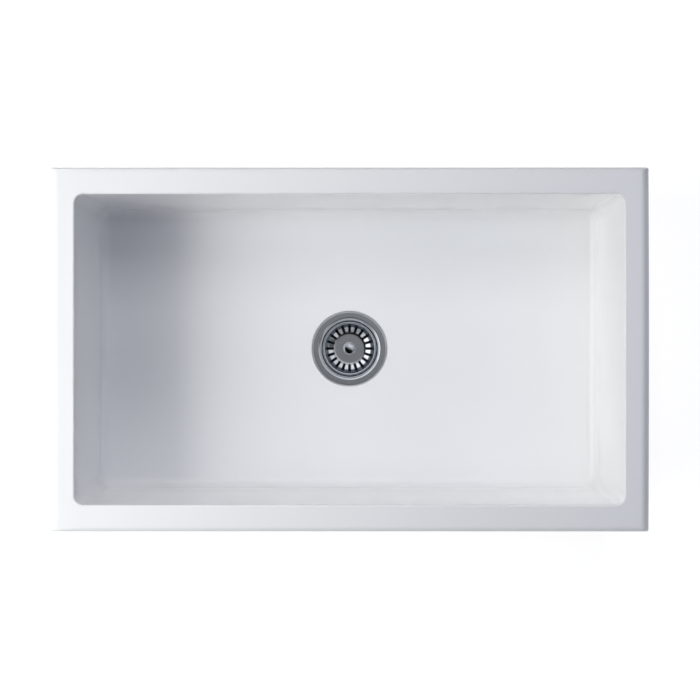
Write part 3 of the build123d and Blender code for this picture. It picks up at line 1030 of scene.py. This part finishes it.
def rounded_bar(bm, start, end, half_width, low, high, edge):
    """A bar along X with rounded long edges, added to a bmesh."""
    section = rounded(
        [(-half_width, low), (half_width, low), (half_width, high), (-half_width, high)], [edge] * 4
    )
    rings = [[bm.verts.new((x, y, z)) for y, z in section] for x in (start, end)]
    bridge(bm, rings[0], rings[1])
    bm.faces.new(rings[0])
    bm.faces.new(rings[1])


def joined(pieces):
    """Joins pieces of one finish into the first."""
    bm = bmesh.new()
    for piece in pieces:
        bm.from_mesh(piece.data)
    first = pieces[0]
    bm.to_mesh(first.data)
    bm.free()
    for piece in pieces[1:]:
        bpy.data.objects.remove(piece)
    return first


def outlet_cross_piece():
    """A hub on four arms."""
    radius, low, high = node_span("outlet_cross")
    hole_r = 5.6
    hub_r = 9.0
    arm_half = 1.75
    arm_in_hub = 1.0
    edge = 0.5
    bm = bmesh.new()
    rounded_bar(bm, hub_r - arm_in_hub, radius, arm_half, low, high, edge)
    arms = finish_mesh("outlet_cross", bm)
    copied_round(arms, array_round_axis, 4, finishes["satin_steel"])
    bake(arms)
    hub = turned("outlet_hub", ring_outline(hole_r, hub_r, low, high, edge), segments=64)
    return joined([arms, hub])


def locknut_piece():
    """A flanged ring with lugs."""
    radius, low, high = node_span("locknut")
    bore = LOCKNUT_BORE_R
    wall_r = bore + 9.0
    flange = 3.0
    lug_half = 4.5
    lug_in_wall = 3.0
    lug_edge = 0.8
    bm = bmesh.new()
    rounded_bar(bm, wall_r - lug_in_wall, radius, lug_half, low, high - flange / 2, lug_edge)
    lugs = finish_mesh("locknut", bm)
    copied_round(lugs, array_round_axis, 6, finishes["zinc"])
    soften_edges(lugs, 0.7, 3)
    bake(lugs)
    body = turned(
        "locknut_ring",
        rounded(
            [
                (bore, low),
                (wall_r, low),
                (wall_r, high - flange),
                (radius, high - flange),
                (radius, high),
                (bore, high),
            ],
            [0.6, 1.0, 1.0, 0.8, 0.6, 0.6],
        ),
    )
    return joined([lugs, body])


def spring_clip_piece():
    """A collar with four bowed fingers."""
    radius, low, high = node_span("spring_clip")
    collar_r = 2.95
    neck_z = high - 3.5
    bulge_z = low + 5.0
    bulge_r = radius + 0.1
    bulge_bend = 1.0
    slit_half = 0.6
    sheet = 0.5
    half = math.pi / 4
    finger = half - math.asin(slit_half / collar_r)
    angles = [-half] + [finger * (i / 4 - 1) for i in range(9)] + [half]
    collar = [(collar_r, high), (collar_r, neck_z)]
    bowed = [(collar_r, neck_z), (bulge_r, bulge_z), (collar_r, low)]
    bm = bmesh.new()
    strip(bm, collar, angles)
    strip(bm, rounded(bowed, [0, bulge_bend, 0], closed=False), angles[1:-1])
    piece = finish_mesh("spring_clip", bm)
    copied_round(piece, array_round_axis, 4, finishes["satin_steel"])
    give_thickness(piece, sheet)
    bake(piece)
    return piece


def stopper_outline():
    """The rubber stopper: a sloping rim with a lip, hollow beneath."""
    radius, low, high = node_span("stopper")
    lip_fall = 0.344
    wall = 1.2
    lip_z = low + lip_fall
    hollow_z = lip_z + wall
    lip_r = radius - 2.5
    shoulder_r = radius - 5.0
    return rounded(
        [
            (STEM_HOLE_R, high),
            (shoulder_r, high),
            (radius, hollow_z + wall),
            (radius, lip_z),
            (lip_r, low),
            (lip_r - wall, hollow_z),
            (STEM_HOLE_R, hollow_z),
        ],
        [0.3, 1.2, 0.9, 0.6, 0.5, 0.4, 0.3],
    )


def tailpiece_outline():
    """A thin tube with a flange at its top, drawn in a little below the nut."""
    flange_r, low, high = node_span("tailpiece")
    flange_z = high - 1.5
    neck_r = TUBE_R - 0.35
    neck_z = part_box("coupling_nut")[0].z / MM - 1.0
    return rounded(
        [
            (TUBE_BORE_R, low),
            (neck_r, low),
            (neck_r, neck_z),
            (TUBE_R, neck_z),
            (TUBE_R, flange_z),
            (flange_r, flange_z),
            (flange_r, high),
            (TUBE_BORE_R, high),
        ],
        [0.3, 0.4, 0.1, 0.15, 0.5, 0.4, 0.3, 0.5],
    )


def tailpiece_washer_outline():
    """A washer with a collar below."""
    radius, low, high = node_span("tailpiece_washer")
    collar_r = 18.0
    bore = 16.0
    washer_z = high - 2.0
    return rounded(
        [
            (bore, low),
            (collar_r, low),
            (collar_r, washer_z),
            (radius, washer_z),
            (radius, high),
            (bore, high),
        ],
        [0.4, 0.5, 0.3, 0.4, 0.4, 0.4],
    )


def flange_seal_outline():
    """The squeezed rubber ring under the flange."""
    radius, low, high = node_span("flange_seal")
    bevel_gap = 0.5
    squeezed_edge = 1.0
    return rounded(
        [
            (HOLE_R + BEVEL + bevel_gap, low),
            (radius, low),
            (radius, high - SHEET),
            (radius - squeezed_edge, high),
            (CREST_R + SHEET, high),
        ],
        [0.5, 0.4, 0.4, 0.3, 0.3],
    )


def stem_outline():
    """The plug's stem: a rod with a thinner end."""
    radius, low, high = node_span("stem")
    thin_r = 2.4
    step_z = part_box("spring_clip")[1].z / MM
    return rounded(
        [(0, low), (thin_r, low), (thin_r, step_z), (radius, step_z), (radius, high), (0, high)],
        [0, 0.6, 0.1, 0.3, 0.3, 0],
        closed=False,
    )


def dress_ring(name, body, finish, node, bore, edge, segments=128):
    """A washer, gasket or sleeve as wide and thick as its solid, with its finish."""
    radius, low, high = node_span(node)
    dress(turned(name, ring_outline(bore, radius, low, high, edge), segments), body, finish, node)


dress(bowl_piece(), "sink", "glazed_clay", "bowl")
dress(turned("strainer", thickened(strainer_line(), SHEET), 192), "sink", "satin_steel", "strainer_body")
dress(turned("seal", flange_seal_outline()), "sink", "black_rubber", "flange_seal")
dress_ring("gasket", "sink", "black_rubber", "underside_gasket", LOCKNUT_BORE_R, 0.6)
dress_ring("friction_ring", "sink", "red_fibre", "fibre_ring", LOCKNUT_BORE_R, 0.2)
dress(locknut_piece(), "sink", "zinc", "locknut")
dress(outlet_cross_piece(), "sink", "satin_steel", "outlet_cross")
dress_ring("sleeve", "sink", "brass", "outlet_sleeve", SLEEVE_BORE_R, 0.3)
dress(turned("hat_washer", tailpiece_washer_outline()), "sink", "white_nylon", "tailpiece_washer")
dress(turned("tail_tube", tailpiece_outline()), "sink", "polished_steel", "tailpiece")

nut_low, nut_high = (corner.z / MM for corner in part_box("coupling_nut"))
coupling = hexagon_nut(
    "tail_nut",
    COUPLING_FLATS,
    COUPLING_BORE_R,
    nut_low,
    nut_high,
    lip_bore=COUPLING_LIP_BORE_R,
    lip_z=nut_low + COUPLING_LIP,
)
dress(coupling, "sink", "brass", "coupling_nut")
body_thread = screw_thread(
    "strainer_thread",
    thread_tree,
    BORE_R + SHEET,
    THREAD_PITCH,
    CUP_Z + CUP_CORNER_R,
    PANEL_Z,
    BODY_THREAD_DEPTH,
    finishes["satin_steel"],
)
dress(body_thread, "sink", "satin_steel")
sleeve_r, _, sleeve_high = node_span("outlet_sleeve")
sleeve_thread = screw_thread(
    "sleeve_thread",
    thread_tree,
    sleeve_r - SLEEVE_THREAD_SINK,
    THREAD_PITCH,
    nut_high - SLEEVE_THREAD_IN_NUT,
    sleeve_high - SLEEVE_PLAIN_END,
    SLEEVE_THREAD_DEPTH,
    finishes["brass"],
)
dress(sleeve_thread, "sink", "brass")

dress(basket_piece(), "basket", "satin_steel", "basket_cup")
dress(turned("pull_knob", knob_outline(), 96, closed=False), "plug", "polished_steel", "knob")
dress(turned("plug_stem", stem_outline(), 64, closed=False), "plug", "satin_steel", "stem")
dress_ring("washer_above", "plug", "white_nylon", "upper_washer", STEM_HOLE_R, 0.25, 64)
dress_ring("washer_below", "plug", "white_nylon", "lower_washer", STEM_HOLE_R, 0.25, 64)
dress_ring("backing_plate", "plug", "satin_steel", "stopper_plate", STEM_HOLE_R, 0.4, 96)
dress(turned("rubber_stopper", stopper_outline()), "plug", "black_rubber", "stopper")
dress_ring("stopper_washer", "plug", "satin_steel", "stopper_retainer", STEM_HOLE_R, 0.35, 96)
stem_nut_low, stem_nut_high = (corner.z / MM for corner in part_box("stem_nut"))
plug_nut = hexagon_nut("plug_nut", STEM_NUT_FLATS, STEM_HOLE_R, stem_nut_low, stem_nut_high)
dress(plug_nut, "plug", "brass", "stem_nut")
dress(spring_clip_piece(), "plug", "satin_steel", "spring_clip")


# Floor, light and camera

# The floor, in metres: its half width and its gap below the tailpiece; what the camera sees of it and the
# fill light that it gives, each from one distance to another and from one level to another
FLOOR_HALF = 12.0
FLOOR_GAP = 0.002
FLOOR_GREY = (0.50, 0.50, 0.50, 1)
FLOOR_GLOW = (0.5, 2.2, 0.81, 1.0)
FLOOR_FILL = (-0.4, 0.4, 0.0, 0.55)
DARK_SIDE = (0.71, -0.71, 0.0)

# The room that is mirrored: steps of level with the sine of the elevation, and panels that multiply the
# level, each an azimuth, an elevation, the degrees to its outer and inner edge, and its factor
SEEN_STEPS = (
    (0.30, 0.50, 1.0, 0.50),
    (0.62, 0.71, 0.0, 0.55),
    (0.76, 0.88, 0.0, -0.75),
)
BACKDROP = (0.30, 0.50, 1.0, 0.0)
DARK_CEILING = [(azimuth, 71.0, 17.0, 11.0, 0.04) for azimuth in (205.0, 240.0, 275.0)]
PALE_CEILING = [(azimuth, 74.0, 14.5, 6.0, 1.8) for azimuth in (20.0, 65.0, 110.0)]
KEY_PANEL = (186.0, 43.0, 26.0, 15.0, 2.0)
DARK_FRONT = (270.0, 34.0, 42.0, 15.0, 0.35)
PALE_BACK = (115.0, 34.0, 45.0, 20.0, 1.6)
DARK_RIGHT = (342.0, 50.0, 14.0, 7.0, 0.08)
SEEN_PANELS = DARK_CEILING + PALE_CEILING + [KEY_PANEL, DARK_FRONT, PALE_BACK, DARK_RIGHT]

# The lamps: azimuth, elevation, distance and width in metres, power in watts, and colour
LAMP_AIM_Z = 0.15
NEUTRAL = (0.985, 1.0, 0.99)
COOL = (1.0, 1.0, 1.06)
BLUE = (0.88, 1.0, 1.55)
LAMPS = {
    "key": (180.0, 41.0, 1.9, 0.9, 14.6, NEUTRAL),
    "left_front": (210.0, 41.0, 2.0, 0.9, 9.7, NEUTRAL),
    "near_left": (180.0, 52.0, 1.3, 0.5, 1.55, NEUTRAL),
    "back_low": (90.0, 30.0, 5.0, 1.6, 40.0, NEUTRAL),
    "back_high": (90.0, 63.0, 5.0, 1.6, 38.0, COOL),
    "front_fill": (280.0, 22.0, 5.0, 1.6, 13.0, NEUTRAL),
    "right_fill": (0.0, 60.0, 2.0, 1.0, 2.6, BLUE),
}

# The camera: its height above the rim, the width that it sees there and its place, in metres, and its
# sensor in millimetres
VIEW_HEIGHT = 2.25
VIEW_WIDTH = 0.9736
VIEW_ASIDE = 0.0007
VIEW_BACK = 0.0135
SENSOR_WIDTH = 36.0


def seen_rays(tree, path):
    """1 for the rays that show a surface to the camera: straight, mirrored or through glass."""
    seen = math_node(tree, "ADD", path["Is Camera Ray"], path["Is Glossy Ray"])
    return math_node(tree, "ADD", seen, path["Is Transmission Ray"])


def floor_piece():
    """A wide pale floor just below the tailpiece, white to the camera but for a soft shadow.

    It gives fill light on the dark side of the sink, and is clear from below.
    """
    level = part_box("tailpiece")[0].z - FLOOR_GAP
    corners = [(x * FLOOR_HALF, y * FLOOR_HALF, level) for x, y in ((-1, -1), (1, -1), (1, 1), (-1, 1))]
    mesh = bpy.data.meshes.new("floor")
    mesh.from_pydata(corners, [], [(0, 1, 2, 3)])
    floor = bpy.data.objects.new("floor", mesh)
    bpy.context.collection.objects.link(floor)
    material = bpy.data.materials.new("studio_floor")
    material.use_nodes = True
    tree = material.node_tree
    tree.nodes.remove(tree.nodes["Principled BSDF"])
    shade = tree.nodes.new("ShaderNodeBsdfDiffuse")
    shade.inputs["Color"].default_value = FLOOR_GREY
    glow = tree.nodes.new("ShaderNodeEmission")
    path = tree.nodes.new("ShaderNodeLightPath").outputs
    place = tree.nodes.new("ShaderNodeTexCoord").outputs["Object"]

    def over_floor(operation, steps):
        """A level that changes with the distance from the sink, or along the way to its dark side."""
        measure = tree.nodes.new("ShaderNodeVectorMath")
        measure.operation = operation
        tree.links.new(place, measure.inputs[0])
        measure.inputs[1].default_value = DARK_SIDE
        return smooth_step(tree, measure.outputs["Value"], *steps)

    white = math_node(tree, "MULTIPLY", seen_rays(tree, path), over_floor("LENGTH", FLOOR_GLOW))
    side_fill = over_floor("DOT_PRODUCT", FLOOR_FILL)
    fill = math_node(tree, "MULTIPLY", path["Is Diffuse Ray"], side_fill)
    tree.links.new(math_node(tree, "MAXIMUM", white, fill), glow.inputs["Strength"])
    both = tree.nodes.new("ShaderNodeAddShader")
    tree.links.new(shade.outputs["BSDF"], both.inputs[0])
    tree.links.new(glow.outputs["Emission"], both.inputs[1])
    clear = tree.nodes.new("ShaderNodeBsdfTransparent")
    from_below = tree.nodes.new("ShaderNodeNewGeometry").outputs["Backfacing"]
    one_sided = tree.nodes.new("ShaderNodeMixShader")
    tree.links.new(from_below, one_sided.inputs[0])
    tree.links.new(both.outputs["Shader"], one_sided.inputs[1])
    tree.links.new(clear.outputs["BSDF"], one_sided.inputs[2])
    tree.links.new(one_sided.outputs["Shader"], tree.nodes["Material Output"].inputs["Surface"])
    mesh.materials.append(material)


def studio_world():
    """A dark studio lit by its lamps alone; seen and mirrored, it is white at the horizon and grey above,
    with the pale and dark panels that the steel shows as its crescents."""
    world = bpy.data.worlds.new("studio")
    bpy.context.scene.world = world
    world.use_nodes = True
    tree = world.node_tree
    place = tree.nodes.new("ShaderNodeTexCoord").outputs["Generated"]
    split = tree.nodes.new("ShaderNodeSeparateXYZ")
    tree.links.new(place, split.inputs["Vector"])
    height = split.outputs["Z"]

    def panel_factor(azimuth, elevation, outer, inner, factor):
        """1 away from a panel, and its factor on it."""
        towards = tree.nodes.new("ShaderNodeVectorMath")
        towards.operation = "DOT_PRODUCT"
        tree.links.new(place, towards.inputs[0])
        towards.inputs[1].default_value = direction(azimuth, elevation)
        far, near = (math.cos(math.radians(angle)) for angle in (outer, inner))
        return smooth_step(tree, towards.outputs["Value"], far, near, 1.0, factor)

    level = smooth_step(tree, height, *SEEN_STEPS[0])
    for step in SEEN_STEPS[1:]:
        level = math_node(tree, "ADD", level, smooth_step(tree, height, *step))
    for panel in SEEN_PANELS:
        level = math_node(tree, "MULTIPLY", level, panel_factor(*panel))
    level = math_node(tree, "MAXIMUM", level, smooth_step(tree, height, *BACKDROP))
    seen = seen_rays(tree, tree.nodes.new("ShaderNodeLightPath").outputs)
    background = tree.nodes["Background"]
    tree.links.new(math_node(tree, "MULTIPLY", level, seen), background.inputs["Strength"])
    background.inputs["Color"].default_value = (1, 1, 1, 1)


def direction(azimuth, elevation):
    """The unit vector at an azimuth from +X towards +Y and an elevation, both in degrees."""
    flat = math.cos(math.radians(elevation))
    return (
        flat * math.cos(math.radians(azimuth)),
        flat * math.sin(math.radians(azimuth)),
        math.sin(math.radians(elevation)),
    )


def soft_box(name, azimuth, elevation, distance, size, power, colour):
    """A square lamp that faces the middle of the bowl; mirrors show the room in its place."""
    lamp = bpy.data.lights.new(name, "AREA")
    lamp.shape = "SQUARE"
    lamp.size = size
    lamp.energy = power
    lamp.color = colour
    towards = direction(azimuth, elevation)
    holder = bpy.data.objects.new(name, lamp)
    holder.location = [distance * part for part in towards]
    holder.location.z += LAMP_AIM_Z
    holder.rotation_euler = Vector([-part for part in towards]).to_track_quat("-Z", "Y").to_euler()
    holder.visible_glossy = False
    bpy.context.collection.objects.link(holder)


def camera():
    """The photograph's place: above the waste and a little behind it, with the rim in mid-view."""
    lens = bpy.data.cameras.new("camera")
    lens.sensor_width = SENSOR_WIDTH
    lens.lens = SENSOR_WIDTH * VIEW_HEIGHT / VIEW_WIDTH
    lens.shift_y = -(VIEW_BACK + VIEW_ASIDE) / VIEW_WIDTH
    holder = bpy.data.objects.new("camera", lens)
    holder.location = (VIEW_ASIDE, VIEW_BACK, RIM_Z * MM + VIEW_HEIGHT)
    bpy.context.collection.objects.link(holder)
    bpy.context.scene.camera = holder


floor_piece()
studio_world()
for lamp_name, lamp_values in LAMPS.items():
    soft_box(lamp_name, *lamp_values)
camera()
bpy.context.scene.view_settings.view_transform = "Standard"
